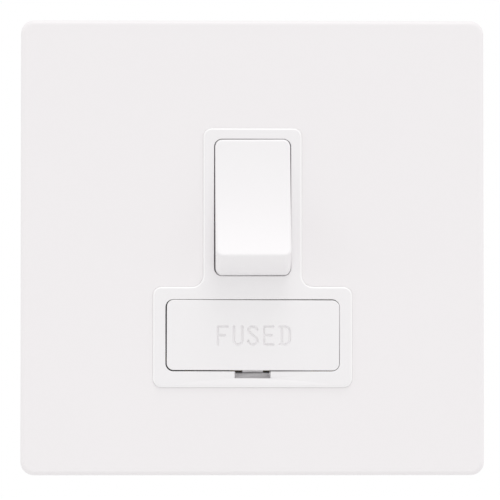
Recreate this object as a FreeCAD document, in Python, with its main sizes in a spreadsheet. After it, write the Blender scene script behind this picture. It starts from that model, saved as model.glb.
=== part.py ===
import FreeCAD, Part
import math
import os
import Sketcher
from FreeCAD import Placement, Rotation, Vector

# Switched fused connection unit on a square screwless plate, in millimetres.
# +X is to the right, +Z is up and the front faces -Y. The wall plane is y = 0, so what lies
# in front of the wall has negative y and what lies in the wall box has positive y.
# The origin is the middle of the plate on the wall plane, between the two fixing slots.
# Everything is stored switched off: the rocker's lower end stands out.

# Driving sizes, in millimetres and degrees
SIZES = {
    # Clip-on cover plate
    "plate_width": 90.0,
    "plate_height": 88.4,
    "plate_depth": 5.6,
    "plate_wall": 1.5,
    "plate_corner_radius": 2.6,
    "plate_edge_radius": 0.9,
    "pry_notch_width": 8.0,
    "pry_notch_depth": 1.0,
    "snap_spacing": 44.0,
    "snap_width": 8.0,
    "snap_rib_thickness": 0.8,
    "snap_clearance": 0.06,
    # Steel mounting plate behind the cover
    "steel_thickness": 1.0,
    "steel_margin": 0.8,
    "steel_corner_radius": 2.0,
    "fixing_spacing": 60.3,
    "fixing_slot_width": 4.2,
    "fixing_slot_length": 5.8,
    "window_width": 37.8,
    "window_margin": 0.2,
    "snap_tab_height": 2.3,
    "snap_tab_width": 9.0,
    "earth_tab_width": 6.0,
    "earth_lug_length": 6.4,
    # Front insert, the T that stands through the cover plate
    "insert_proud": 0.45,
    "insert_gap": 0.02,
    "insert_stem_width": 19.2,
    "insert_foot_width": 38.7,
    "insert_top": 23.2,
    "insert_shoulder": -7.64,
    "insert_bottom": -27.2,
    "insert_corner_radius": 1.7,
    "insert_shoulder_radius": 2.2,
    "insert_edge_radius": 0.45,
    "insert_mouth_radius": 0.2,
    "flange_side_margin": 0.4,
    "flange_end_lap": 1.0,
    "flange_thickness": 2.6,
    "flange_corner_radius": 2.0,
    "well_wall": 1.4,
    "rocker_well_depth": 2.5,
    "carrier_well_depth": 1.0,
    # Rocker and its opening
    "rocker_opening_width": 14.9,
    "rocker_opening_length": 26.6,
    "rocker_opening_centre": 7.76,
    "opening_corner_radius": 1.5,
    "rocker_side_gap": 0.14,
    "rocker_end_gap": 0.12,
    "rocker_pivot_depth": 4.45,
    "rocker_half_travel": 13.5,
    "rocker_ridge_reach": 11.15,
    "rocker_face_hollow": 1.5,
    "rocker_base_height": 0.5,
    "rocker_skirt": 0.8,
    "rocker_edge_radius": 0.5,
    "rocker_skin": 1.9,
    "rocker_hollow_inset": 0.5,
    "axle_radius": 1.2,
    "axle_length": 1.5,
    "axle_clearance": 0.05,
    "pole_spacing": 7.4,
    "plunger_tube_radius": 2.3,
    "plunger_tube_reach": 6.5,
    "plunger_radius": 1.3,
    "plunger_reach": 9.0,
    "plunger_tail": 4.5,
    "plunger_nose_flat": 0.1,
    "plunger_clearance": 0.05,
    "plunger_arm_gap": 0.15,
    "spring_wire": 0.35,
    "spring_turns": 4.0,
    "spring_clearance": 0.1,
    # Rocking contact arms and the fixed contacts
    "arm_half_travel": 9.0,
    "arm_width": 4.0,
    "arm_thickness": 0.8,
    "arm_knee_angle": 13.0,
    "arm_knee_length": 4.0,
    "arm_contact_reach": 10.0,
    "arm_upper_reach": 11.6,
    "arm_lower_reach": 9.0,
    "arm_lug_half": 0.5,
    "arm_lug_edge": 0.25,
    "tip_radius": 1.2,
    "tip_height": 0.7,
    "tip_dome_radius": 2.5,
    "fixed_tip_height": 0.6,
    "closed_gap": 0.08,
    "cradle_gap": 0.03,
    "cradle_length": 4.0,
    "cradle_pedestal": 2.4,
    "cradle_notch_half": 0.75,
    "cradle_ear_thickness": 0.6,
    "cradle_ear_height": 1.4,
    "arm_side_gap": 0.15,
    "arm_rest_gap": 0.1,
    "strip_thickness": 0.8,
    "strip_width": 4.0,
    "strip_tail_width": 5.0,
    "fixed_strip_height": 2.9,
    "live_strip_centre": 12.95,
    "live_strip_width": 3.5,
    "neutral_strip_centre": 16.5,
    "neutral_strip_width": 2.6,
    # Terminals
    "terminal_spacing": 16.0,
    "terminal_inset": 6.0,
    "terminal_width": 8.0,
    "terminal_height": 8.0,
    "terminal_depth": 8.6,
    "terminal_bore_radius": 2.25,
    "terminal_bore_depth": 3.6,
    "terminal_edge": 0.3,
    "clamp_screw_radius": 1.7,
    "clamp_head_radius": 2.6,
    "clamp_head_height": 2.0,
    "clamp_tip_gap": 0.25,
    "clamp_head_gap": 0.2,
    "screw_slot_width": 0.8,
    "screw_slot_depth": 0.9,
    "screw_clearance": 0.05,
    # Rear housing
    "housing_width": 50.0,
    "housing_height": 60.0,
    "housing_depth": 24.0,
    "housing_wall": 1.6,
    "housing_corner_radius": 2.5,
    "cell_wall": 1.2,
    "cell_clearance": 0.05,
    "rib_thickness": 1.2,
    "case_screw_inset": 3.4,
    "case_screw_upper": 13.0,
    "case_screw_lower": -7.0,
    "case_post_radius": 2.4,
    "case_screw_radius": 1.45,
    "case_head_radius": 2.3,
    "case_head_height": 1.8,
    "case_head_clearance": 0.2,
    "case_head_recess": 0.2,
    "case_tip_inset": 0.3,
    # Fuse and its pull-out carrier
    "carrier_opening_width": 33.8,
    "carrier_opening_height": 13.95,
    "carrier_opening_centre": -17.075,
    "carrier_gap": 0.15,
    "carrier_face_thickness": 2.4,
    "carrier_edge_radius": 0.2,
    "notch_width": 7.0,
    "notch_height": 1.35,
    "notch_depth": 1.9,
    "notch_corner_radius": 0.2,
    "relief_width": 6.6,
    "relief_height": 0.65,
    "relief_depth": 2.3,
    "pry_lip_width": 4.0,
    "pry_lip_reach": 0.58,
    "pry_lip_thickness": 0.7,
    "pry_lip_root": 1.2,
    "rail_thickness": 1.2,
    "rail_height": 6.0,
    "rail_reach": 8.1,
    "saddle_inner": 3.6,
    "saddle_outer": 6.6,
    "saddle_wall": 1.2,
    "saddle_grip": 1.0,
    "saddle_clearance": 0.05,
    "spine_thickness": 1.6,
    "fuse_depth": 4.0,
    "fuse_length": 25.4,
    "fuse_barrel_radius": 2.85,
    "fuse_cap_radius": 3.17,
    "fuse_cap_length": 5.5,
    "fuse_cap_end": 0.5,
    "fuse_cap_clearance": 0.03,
    "clip_thickness": 0.5,
    "clip_width": 4.0,
    "clip_centre": 10.2,
    "clip_clearance": 0.05,
    "clip_arm_reach": 2.0,
    "clip_lip": 1.0,
    "clip_flare": 0.6,
    "clip_leg_inset": 13.5,
}

TOLERANCE = 1e-6

os.makedirs("parts", exist_ok=True)
doc = FreeCAD.newDocument("fused_connection_unit")


class Size:
    """A number together with the sheet expression that it comes from."""

    def __init__(self, value, text):
        self.value = float(value)
        self.text = text

    def __add__(self, other):
        other = as_size(other)
        return Size(self.value + other.value, f"({self.text} + {other.text})")

    def __sub__(self, other):
        other = as_size(other)
        return Size(self.value - other.value, f"({self.text} - {other.text})")

    def __mul__(self, other):
        other = as_size(other)
        return Size(self.value * other.value, f"({self.text} * {other.text})")

    def __truediv__(self, other):
        other = as_size(other)
        return Size(self.value / other.value, f"({self.text} / {other.text})")

    def __radd__(self, other):
        return as_size(other) + self

    def __rsub__(self, other):
        return as_size(other) - self

    def __rmul__(self, other):
        return as_size(other) * self

    def __neg__(self):
        return Size(-self.value, f"(0 - {self.text})")


def as_size(number):
    """Turn a plain number into a Size, and leave a Size as it is."""
    return number if isinstance(number, Size) else Size(number, repr(float(number)))


def sine(angle):
    return Size(math.sin(math.radians(angle.value)), f"sin({angle.text} * 1 deg)")


def cosine(angle):
    return Size(math.cos(math.radians(angle.value)), f"cos({angle.text} * 1 deg)")


def tangent(angle):
    return Size(math.tan(math.radians(angle.value)), f"tan({angle.text} * 1 deg)")


def root(square):
    return Size(math.sqrt(square.value), f"sqrt({square.text})")


def write_sheet():
    """Keep the driving sizes in a spreadsheet, one aliased cell each."""
    sheet = doc.addObject("Spreadsheet::Sheet", "Sizes")
    for row, (name, number) in enumerate(SIZES.items(), start=1):
        sheet.set(f"A{row}", name)
        sheet.set(f"B{row}", str(number))
        sheet.setAlias(f"B{row}", name)
    doc.recompute()
    return {name: Size(number, f"Sizes.{name}") for name, number in SIZES.items()}


class Sheet:
    """Gives each driving size by its name."""

    def __init__(self, sizes):
        self.__dict__.update(sizes)


S = Sheet(write_sheet())


def bind(thing, path, size):
    """Tie one property of a document object to its expression."""
    thing.setExpression(path, as_size(size).text)


# Sketch profiles
def place_point(sketch, geometry, position, x, y):
    """Fix a sketch point at (x, y) from the sketch's origin."""
    for kind, size in (("DistanceX", as_size(x)), ("DistanceY", as_size(y))):
        index = sketch.addConstraint(Sketcher.Constraint(kind, -1, 1, geometry, position, size.value))
        bind(sketch, f"Constraints[{index}]", size)


def arc_between(centre, start, finish):
    """The arc about the centre, counterclockwise from start to finish."""
    begin = math.atan2(start.y - centre.y, start.x - centre.x)
    end = math.atan2(finish.y - centre.y, finish.x - centre.x)
    end += 2 * math.pi if end < begin else 0
    return Part.ArcOfCircle(Part.Circle(centre, Vector(0, 0, 1), (start - centre).Length), begin, end)


class Outline:
    """A closed outline through corners, each (x, y) or (x, y, radius)."""

    def __init__(self, corners):
        self.corners = [tuple(as_size(number) for number in corner) for corner in corners]

    def draw(self, sketch):
        count = len(self.corners)
        points = [Vector(corner[0].value, corner[1].value, 0) for corner in self.corners]
        starts, ends, arcs = [], [], []
        for index, corner in enumerate(self.corners):
            before, here, after = points[index - 1], points[index], points[(index + 1) % count]
            if len(corner) == 2:
                starts.append(here)
                ends.append(here)
                arcs.append(None)
                continue
            radius = corner[2].value
            arrive = (here - before).normalize()
            leave = (after - here).normalize()
            turn = arrive.getAngle(leave)
            back_off = radius * math.tan(turn / 2)
            left_turn = arrive.cross(leave).z > 0
            touch_in, touch_out = here - arrive * back_off, here + leave * back_off
            side = Vector(-arrive.y, arrive.x, 0) * (radius if left_turn else -radius)
            centre = touch_in + side
            first, last = (touch_in, touch_out) if left_turn else (touch_out, touch_in)
            arcs.append((arc_between(centre, first, last), left_turn))
            ends.append(touch_in)
            starts.append(touch_out)
        lines = [
            sketch.addGeometry(Part.LineSegment(starts[index], ends[(index + 1) % count]), False)
            for index in range(count)
        ]
        for index, corner in enumerate(self.corners):
            line_in, line_out = lines[index - 1], lines[index]
            if arcs[index] is None:
                sketch.addConstraint(Sketcher.Constraint("Coincident", line_in, 2, line_out, 1))
                place_point(sketch, line_out, 1, corner[0], corner[1])
                continue
            shape, left_turn = arcs[index]
            arc = sketch.addGeometry(shape, False)
            apex = sketch.addGeometry(Part.Point(points[index]), True)
            place_point(sketch, apex, 1, corner[0], corner[1])
            sketch.addConstraint(Sketcher.Constraint("PointOnObject", apex, 1, line_in))
            sketch.addConstraint(Sketcher.Constraint("PointOnObject", apex, 1, line_out))
            arc_in, arc_out = (1, 2) if left_turn else (2, 1)
            sketch.addConstraint(Sketcher.Constraint("Tangent", line_in, 2, arc, arc_in))
            sketch.addConstraint(Sketcher.Constraint("Tangent", arc, arc_out, line_out, 1))
            bend = sketch.addConstraint(Sketcher.Constraint("Radius", arc, corner[2].value))
            bind(sketch, f"Constraints[{bend}]", corner[2])


class Rectangle(Outline):
    """A rectangle given by its middle, width and height, with an optional corner radius."""

    def __init__(self, x, y, width, height, radius=None):
        x, y, half_width, half_height = as_size(x), as_size(y), as_size(width) / 2, as_size(height) / 2
        corners = [
            (x - half_width, y - half_height),
            (x + half_width, y - half_height),
            (x + half_width, y + half_height),
            (x - half_width, y + half_height),
        ]
        super().__init__(corners if radius is None else [corner + (radius,) for corner in corners])


class Span(Rectangle):
    """A rectangle given by its four sides."""

    def __init__(self, low_x, high_x, low_y, high_y, radius=None):
        low_x, high_x, low_y, high_y = (as_size(side) for side in (low_x, high_x, low_y, high_y))
        super().__init__((low_x + high_x) / 2, (low_y + high_y) / 2, high_x - low_x, high_y - low_y, radius)


class Disc:
    """A circle given by its middle and radius."""

    def __init__(self, x, y, radius):
        self.x, self.y, self.radius = as_size(x), as_size(y), as_size(radius)

    def draw(self, sketch):
        middle = Vector(self.x.value, self.y.value, 0)
        circle = sketch.addGeometry(Part.Circle(middle, Vector(0, 0, 1), self.radius.value), False)
        place_point(sketch, circle, 3, self.x, self.y)
        index = sketch.addConstraint(Sketcher.Constraint("Radius", circle, self.radius.value))
        bind(sketch, f"Constraints[{index}]", self.radius)


class Slot:
    """A round-ended slot along x, given by its middle, overall length and width."""

    def __init__(self, x, y, length, width):
        self.x, self.y, self.length, self.width = as_size(x), as_size(y), as_size(length), as_size(width)

    def draw(self, sketch):
        radius = self.width / 2
        reach = self.length / 2 - radius
        right, left = self.x + reach, self.x - reach
        up = Vector(0, radius.value, 0)
        arcs = []
        for middle_x, begin in ((right, -math.pi / 2), (left, math.pi / 2)):
            middle = Vector(middle_x.value, self.y.value, 0)
            circle = Part.Circle(middle, Vector(0, 0, 1), radius.value)
            arcs.append(sketch.addGeometry(Part.ArcOfCircle(circle, begin, begin + math.pi), False))
        top_right = Vector(right.value, self.y.value, 0) + up
        top_left = Vector(left.value, self.y.value, 0) + up
        top = sketch.addGeometry(Part.LineSegment(top_right, top_left), False)
        bottom = sketch.addGeometry(Part.LineSegment(top_left - up * 2, top_right - up * 2), False)
        sketch.addConstraint(Sketcher.Constraint("Tangent", arcs[0], 2, top, 1))
        sketch.addConstraint(Sketcher.Constraint("Tangent", top, 2, arcs[1], 1))
        sketch.addConstraint(Sketcher.Constraint("Tangent", arcs[1], 2, bottom, 1))
        sketch.addConstraint(Sketcher.Constraint("Tangent", bottom, 2, arcs[0], 1))
        place_point(sketch, arcs[0], 3, right, self.y)
        place_point(sketch, arcs[1], 3, left, self.y)
        index = sketch.addConstraint(Sketcher.Constraint("Radius", arcs[0], radius.value))
        bind(sketch, f"Constraints[{index}]", radius)


class ArcOutline:
    """A closed outline through corners, with an arc for each side that is given a radius.
    Side n runs from corner n to the next. Its arc bulges out, or dips in where the radius is negative."""

    def __init__(self, corners, radii):
        self.corners = [(as_size(x), as_size(y)) for x, y in corners]
        self.radii = radii

    def draw_side(self, sketch, index, start, finish):
        """Draw one side, and return it with the numbers of its first and last points."""
        if index not in self.radii:
            return sketch.addGeometry(Part.LineSegment(start, finish), False), 1, 2
        radius = self.radii[index]
        bulges = radius.value > 0
        half = (finish - start) / 2
        left = Vector(-half.y, half.x, 0).normalize()
        rise = math.sqrt(radius.value * radius.value - half.Length * half.Length)
        centre = start + half + left * (rise if bulges else -rise)
        ends = (start, finish) if bulges else (finish, start)
        arc = sketch.addGeometry(arc_between(centre, *ends), False)
        size = radius if bulges else -radius
        bend = sketch.addConstraint(Sketcher.Constraint("Radius", arc, size.value))
        bind(sketch, f"Constraints[{bend}]", size)
        return (arc, 1, 2) if bulges else (arc, 2, 1)

    def draw(self, sketch):
        points = [Vector(x.value, y.value, 0) for x, y in self.corners]
        sides = [
            self.draw_side(sketch, index, start, finish)
            for index, (start, finish) in enumerate(zip(points, points[1:] + points[:1]))
        ]
        for index, (side, first, _) in enumerate(sides):
            before, _, last = sides[index - 1]
            sketch.addConstraint(Sketcher.Constraint("Coincident", before, last, side, first))
            place_point(sketch, side, first, *self.corners[index])


NODES = []

# Plane role, and the sign of its normal along the row's own axis
PLANES = {"x": ("YZ_Plane", 1), "y": ("XZ_Plane", -1), "z": ("XY_Plane", 1)}


class Piece:
    """One moulded, pressed or turned piece, built as a PartDesign body."""

    def __init__(self, label, solids=1):
        self.body = doc.addObject("PartDesign::Body", label)
        self.body.Label = label
        self.body.AllowCompound = solids > 1
        self.solids = solids
        self.steps = []
        NODES.append(self)

    def sketch(self, axis, profiles, start):
        """Sketch the profiles on the plane across the axis, at start along it."""
        role, sign = PLANES[axis]
        sketch = self.body.newObject("Sketcher::SketchObject", f"{self.body.Name}_sketch")
        plane = next(item for item in self.body.Origin.OriginFeatures if item.Role == role)
        sketch.AttachmentSupport = [(plane, "")]
        sketch.MapMode = "FlatFace"
        offset = sign * as_size(start)
        sketch.AttachmentOffset = Placement(Vector(0, 0, offset.value), Rotation())
        bind(sketch, "AttachmentOffset.Base.z", offset)
        for profile in profiles:
            profile.draw(sketch)
        return sketch

    def extrude(self, kind, axis, low, high, profiles):
        """Add or cut the profiles between low and high along the axis."""
        low, high = as_size(low), as_size(high)
        start = low if PLANES[axis][1] > 0 else high
        length = high - low
        sketch = self.sketch(axis, profiles, start)
        feature = self.body.newObject(f"PartDesign::{kind}", f"{self.body.Name}_{kind.lower()}")
        feature.Profile = sketch
        feature.Length = length.value
        bind(feature, "Length", length)
        if kind == "Pocket":
            feature.Reversed = True
        self.steps.append((feature, kind))
        return feature

    def add(self, axis, low, high, *profiles):
        return self.extrude("Pad", axis, low, high, profiles)

    def cut(self, axis, low, high, *profiles):
        return self.extrude("Pocket", axis, low, high, profiles)

    def turn(self, sketch_axis, profile, start=0):
        """Revolve a profile about the vertical axis of its own sketch."""
        sketch = self.sketch(sketch_axis, [profile], start)
        feature = self.body.newObject("PartDesign::Revolution", f"{self.body.Name}_revolution")
        feature.Profile = sketch
        feature.ReferenceAxis = (sketch, ["V_Axis"])
        feature.Angle = 360.0
        self.steps.append((feature, "Pad"))
        return feature

    def bore_round(self, profile, y, z):
        """Turn a profile about the line along x through (y, z), and cut it away."""
        sketch = self.sketch("y", [profile], y)
        sketch.AttachmentOffset = Placement(Vector(0, z.value, -y.value), Rotation())
        bind(sketch, "AttachmentOffset.Base.y", z)
        feature = self.body.newObject("PartDesign::Groove", f"{self.body.Name}_groove")
        feature.Profile = sketch
        feature.ReferenceAxis = (sketch, ["H_Axis"])
        feature.Angle = 360.0
        self.steps.append((feature, "Pocket"))
        return feature

    def coil(self, x, low, high, coil_radius, wire_radius, turns):
        """Wind a wire into a helix along y, between low and high."""
        low, high = as_size(low), as_size(high)
        sketch = self.sketch("z", [Disc(coil_radius, low, wire_radius)], 0)
        sketch.AttachmentOffset = Placement(Vector(x.value, 0, 0), Rotation())
        bind(sketch, "AttachmentOffset.Base.x", x)
        feature = self.body.newObject("PartDesign::AdditiveHelix", f"{self.body.Name}_helix")
        feature.Profile = sketch
        feature.ReferenceAxis = (sketch, ["V_Axis"])
        feature.Mode = "height-turns-angle"
        feature.Height = (high - low).value
        feature.Turns = turns.value
        bind(feature, "Height", high - low)
        bind(feature, "Turns", turns)
        self.steps.append((feature, "Pad"))
        return feature

    def round_edges(self, radius, wanted):
        """Fillet every edge of the last step that the test picks out."""
        doc.recompute()
        base = self.steps[-1][0]
        names = [f"Edge{index}" for index, edge in enumerate(base.Shape.Edges, start=1) if wanted(edge)]
        if not names:
            raise RuntimeError(f"{self.body.Label}: no edge to round")
        feature = self.body.newObject("PartDesign::Fillet", f"{self.body.Name}_fillet")
        feature.Base = (base, names)
        feature.Radius = as_size(radius).value
        bind(feature, "Radius", radius)
        self.steps.append((feature, "Fillet"))
        return feature

    def stand(self, x, y, z, axis=None, angle=None):
        """Put the finished piece at (x, y, z), turned about an axis through that point."""
        turn = Rotation() if axis is None else Rotation(axis, angle.value)
        x, y, z = as_size(x), as_size(y), as_size(z)
        self.body.Placement = Placement(Vector(x.value, y.value, z.value), turn)
        for name, size in (("x", x), ("y", y), ("z", z)):
            bind(self.body, f"Placement.Base.{name}", size)
        if angle is not None:
            bind(self.body, "Placement.Rotation.Angle", angle)

    def shape(self):
        return self.body.Shape

    def check(self):
        """Each pad must add material and each pocket must take some away."""
        volume = 0.0
        for feature, kind in self.steps:
            change = feature.Shape.Volume - volume
            if (kind == "Pad" and change <= 0) or (kind == "Pocket" and change >= 0):
                raise RuntimeError(f"{self.body.Label}: {feature.Name} changes nothing")
            volume = feature.Shape.Volume


def flat_at(edge, axis, place):
    """True for an edge that lies wholly in the plane where the axis has that value."""
    box = edge.BoundBox
    low, high = getattr(box, f"{axis}Min"), getattr(box, f"{axis}Max")
    return abs(low - place.value) < TOLERANCE and abs(high - place.value) < TOLERANCE


# Planes along y, from the front to the back
plate_front = -S.plate_depth
plate_inner = plate_front + S.plate_wall
insert_front = plate_front - S.insert_proud
steel_front = -S.steel_thickness
flange_front = steel_front - S.flange_thickness
rocker_axis_y = insert_front + S.rocker_pivot_depth
rocker_axis_z = S.rocker_opening_centre
nose_gap = S.arm_thickness + S.plunger_radius + S.plunger_arm_gap
arm_axis_y = rocker_axis_y + S.plunger_reach + nose_gap
arm_back = -(S.arm_knee_length * tangent(S.arm_knee_angle))
tip_apex = arm_back + S.tip_height
closed_reach = (
    (tip_apex - S.tip_dome_radius) * cosine(S.arm_half_travel)
    + S.arm_contact_reach * sine(S.arm_half_travel)
    + S.tip_dome_radius
)
fixed_tip_front = arm_axis_y + closed_reach + S.closed_gap
strip_front = fixed_tip_front + S.fixed_tip_height
deck = strip_front + S.strip_thickness
housing_floor = S.housing_depth - S.housing_wall
terminal_back = deck + S.terminal_depth
terminal_bore_y = deck + S.terminal_bore_depth
carrier_face_back = insert_front + S.carrier_face_thickness
clip_base_front = S.fuse_depth + S.fuse_cap_radius + S.clip_clearance
clip_base_back = clip_base_front + S.clip_thickness

# The well and the rocker's ends are rounded about the axle, so that their gap stays the same
well_radius = root(
    S.rocker_pivot_depth * S.rocker_pivot_depth + S.rocker_opening_length * S.rocker_opening_length / 4
)
rocker_radius = well_radius - S.rocker_end_gap
rocker_reach = root(rocker_radius * rocker_radius - S.rocker_base_height * S.rocker_base_height)
ridge_height = root(rocker_radius * rocker_radius - S.rocker_ridge_reach * S.rocker_ridge_reach)
# Radius of the hollow in the rocker's face, from its depth
hollow_radius = (
    S.rocker_ridge_reach * S.rocker_ridge_reach + S.rocker_face_hollow * S.rocker_face_hollow
) / (2 * S.rocker_face_hollow)
# Height where the closed arm's tip comes down, and depth of the rest under the open arm's lower end
fixed_contact_z = rocker_axis_z + S.arm_contact_reach * cosine(S.arm_half_travel)
arm_low_back = arm_back * cosine(S.arm_half_travel) + S.arm_lower_reach * sine(S.arm_half_travel)
arm_rest_front = arm_axis_y + arm_low_back + S.arm_rest_gap

# Places across the plate
pole_x = S.pole_spacing / 2
snap_x = S.snap_spacing / 2
steel_half_height = S.plate_height / 2 - S.plate_wall - S.steel_margin
snap_face = steel_half_height + S.snap_clearance
case_screw_x = S.housing_width / 2 - S.case_screw_inset
terminal_row = S.housing_height / 2 - S.terminal_inset
window_height = S.housing_height - 2 * (S.housing_wall + S.window_margin)
flange_width = S.housing_width - 2 * S.flange_side_margin
flange_height = S.housing_height + 2 * S.flange_end_lap
CASE_SCREWS = [
    (side * case_screw_x, height)
    for side in (-1, 1)
    for height in (S.case_screw_upper, S.case_screw_lower)
]
# Each terminal: node name, column and row, counted from the middle
TERMINALS = [
    ("terminal_supply_live", -1, 1),
    ("terminal_supply_earth", 0, 1),
    ("terminal_supply_neutral", 1, 1),
    ("terminal_load_earth", -1, -1),
    ("terminal_load_live", 0, -1),
    ("terminal_load_neutral", 1, -1),
]
POLES = {"live": -1, "neutral": 1}


def sorted_pair(sign, near, far):
    """The low and high of a stretch from near to far, on the plus or the minus side."""
    return (near, far) if sign > 0 else (-far, -near)


def insert_outline(gap):
    """The T of the insert, grown by the gap all round."""
    stem, foot = S.insert_stem_width / 2 + gap, S.insert_foot_width / 2 + gap
    top, shoulder, bottom = S.insert_top + gap, S.insert_shoulder + gap, S.insert_bottom - gap
    outer, inner = S.insert_corner_radius + gap, S.insert_shoulder_radius - gap
    return Outline(
        [
            (-foot, bottom, outer),
            (foot, bottom, outer),
            (foot, shoulder, outer),
            (stem, shoulder, inner),
            (stem, top, outer),
            (-stem, top, outer),
            (-stem, shoulder, inner),
            (-foot, shoulder, outer),
        ]
    )


def cover_plate():
    """Screwless cover: a shallow tray with a T window, that clips over the steel plate."""
    piece = Piece("cover_plate")
    piece.add("y", plate_front, 0, Rectangle(0, 0, S.plate_width, S.plate_height, S.plate_corner_radius))
    piece.round_edges(S.plate_edge_radius, lambda edge: flat_at(edge, "Y", plate_front))
    inner_width = S.plate_width - 2 * S.plate_wall
    inner_height = S.plate_height - 2 * S.plate_wall
    inner_radius = S.plate_corner_radius - S.plate_wall
    piece.cut("y", plate_inner, 0, Rectangle(0, 0, inner_width, inner_height, inner_radius))
    piece.cut("y", plate_front, plate_inner, insert_outline(S.insert_gap))
    rib_middle = steel_front - S.snap_tab_height / 2
    rib_root = inner_height / 2 + S.plate_wall / 2
    for row in (-1, 1):
        low, high = sorted_pair(row, snap_face, rib_root)
        ribs = [
            Span(side * snap_x - S.snap_width / 2, side * snap_x + S.snap_width / 2, low, high)
            for side in (-1, 1)
        ]
        piece.add("y", rib_middle - S.snap_rib_thickness / 2, rib_middle + S.snap_rib_thickness / 2, *ribs)
    notch = Span(-S.pry_notch_width / 2, S.pry_notch_width / 2, -S.plate_height, -inner_height / 2)
    piece.cut("y", -S.pry_notch_depth, 0, notch)


def mounting_plate():
    """Pressed steel plate: window, fixing slots, snap tabs turned forward, earth tabs turned back."""
    piece = Piece("mounting_plate")
    width = S.plate_width - 2 * (S.plate_wall + S.steel_margin)
    piece.add("y", steel_front, 0, Rectangle(0, 0, width, 2 * steel_half_height, S.steel_corner_radius))
    piece.cut("y", steel_front, 0, Rectangle(0, 0, S.window_width, window_height))
    half_fixing = S.fixing_spacing / 2
    slots = [Slot(side * half_fixing, 0, S.fixing_slot_length, S.fixing_slot_width) for side in (-1, 1)]
    screw_holes = [Disc(x, z, S.case_screw_radius + S.screw_clearance) for x, z in CASE_SCREWS]
    piece.cut("y", steel_front, 0, *slots, *screw_holes)
    for row in (-1, 1):
        low, high = sorted_pair(row, steel_half_height - S.steel_thickness, steel_half_height)
        for side in (-1, 1):
            middle = side * snap_x
            tab = Span(middle - S.snap_tab_width / 2, middle + S.snap_tab_width / 2, low, high)
            piece.add("y", steel_front - S.snap_tab_height, steel_front, tab)
    edge = window_height / 2
    for column, row in ((0, 1), (-1, -1)):
        left = column * S.terminal_spacing - S.earth_tab_width / 2
        right = column * S.terminal_spacing + S.earth_tab_width / 2
        riser = Span(left, right, *sorted_pair(row, edge - S.steel_thickness, edge))
        lug = Span(left, right, *sorted_pair(row, edge - S.earth_lug_length, edge))
        piece.add("y", steel_front, deck, riser)
        piece.add("y", deck - S.steel_thickness, deck, lug)


def is_mouth_edge(edge, inside):
    """True for an edge round one of the two openings, well inside the outline of the T."""
    box = edge.BoundBox
    in_stem = box.XMax < S.insert_stem_width.value / 2 - inside.value
    in_stem = in_stem and box.ZMax < S.insert_top.value - inside.value and box.ZMin > S.insert_shoulder.value
    in_foot = box.XMax < S.insert_foot_width.value / 2 - inside.value
    in_foot = in_foot and box.ZMax < S.insert_shoulder.value - inside.value
    in_foot = in_foot and box.ZMin > S.insert_bottom.value + inside.value
    return in_stem or in_foot


def front_insert():
    """The visible T with its rocker and carrier openings, on a flange behind the cover plate."""
    piece = Piece("front_insert")
    piece.add("y", insert_front, steel_front, insert_outline(0))
    piece.round_edges(S.insert_edge_radius, lambda edge: flat_at(edge, "Y", insert_front))
    flange = Rectangle(0, 0, flange_width, flange_height, S.flange_corner_radius)
    piece.add("y", flange_front, steel_front, flange)
    rocker_well = Rectangle(
        0,
        rocker_axis_z,
        S.rocker_opening_width + 2 * S.well_wall,
        2 * (well_radius + S.well_wall),
    )
    piece.add("y", steel_front, S.rocker_well_depth, rocker_well)
    carrier_well = Rectangle(
        0,
        S.carrier_opening_centre,
        S.carrier_opening_width + 2 * S.well_wall,
        S.carrier_opening_height + 2 * S.well_wall,
    )
    piece.add("y", steel_front, S.carrier_well_depth, carrier_well)
    rocker_mouth = Rectangle(
        0, rocker_axis_z, S.rocker_opening_width, S.rocker_opening_length, S.opening_corner_radius
    )
    piece.cut("y", insert_front, S.rocker_well_depth, rocker_mouth)
    carrier_mouth = Rectangle(
        0,
        S.carrier_opening_centre,
        S.carrier_opening_width,
        S.carrier_opening_height,
        S.opening_corner_radius,
    )
    piece.cut("y", insert_front, S.carrier_well_depth, carrier_mouth)
    inside = S.insert_edge_radius + TOLERANCE
    piece.round_edges(
        S.insert_mouth_radius,
        lambda edge: flat_at(edge, "Y", insert_front) and is_mouth_edge(edge, inside),
    )
    half_width = S.rocker_opening_width / 2
    sweep = Outline(
        [
            (-half_width, 0),
            (half_width, 0),
            (half_width, well_radius, S.opening_corner_radius),
            (-half_width, well_radius, S.opening_corner_radius),
        ]
    )
    piece.bore_round(sweep, rocker_axis_y, rocker_axis_z)
    bearing_end = half_width + S.axle_length - S.rocker_side_gap + S.axle_clearance
    bearing = Disc(rocker_axis_y, rocker_axis_z, S.axle_radius + S.axle_clearance)
    piece.cut("x", -bearing_end, bearing_end, bearing)
    mouth_bottom = S.carrier_opening_centre - S.carrier_opening_height / 2
    notch = Outline(
        [
            (-S.notch_width / 2, mouth_bottom - S.notch_height, S.notch_corner_radius),
            (S.notch_width / 2, mouth_bottom - S.notch_height, S.notch_corner_radius),
            (S.notch_width / 2, mouth_bottom + S.notch_height),
            (-S.notch_width / 2, mouth_bottom + S.notch_height),
        ]
    )
    piece.cut("y", insert_front, insert_front + S.notch_depth, notch)
    relief = Rectangle(0, mouth_bottom, S.relief_width, 2 * S.relief_height)
    piece.cut("y", insert_front, insert_front + S.notch_depth + S.relief_depth, relief)
    pilots = [Disc(x, z, S.case_screw_radius + S.screw_clearance) for x, z in CASE_SCREWS]
    piece.cut("y", flange_front, steel_front, *pilots)


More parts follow.
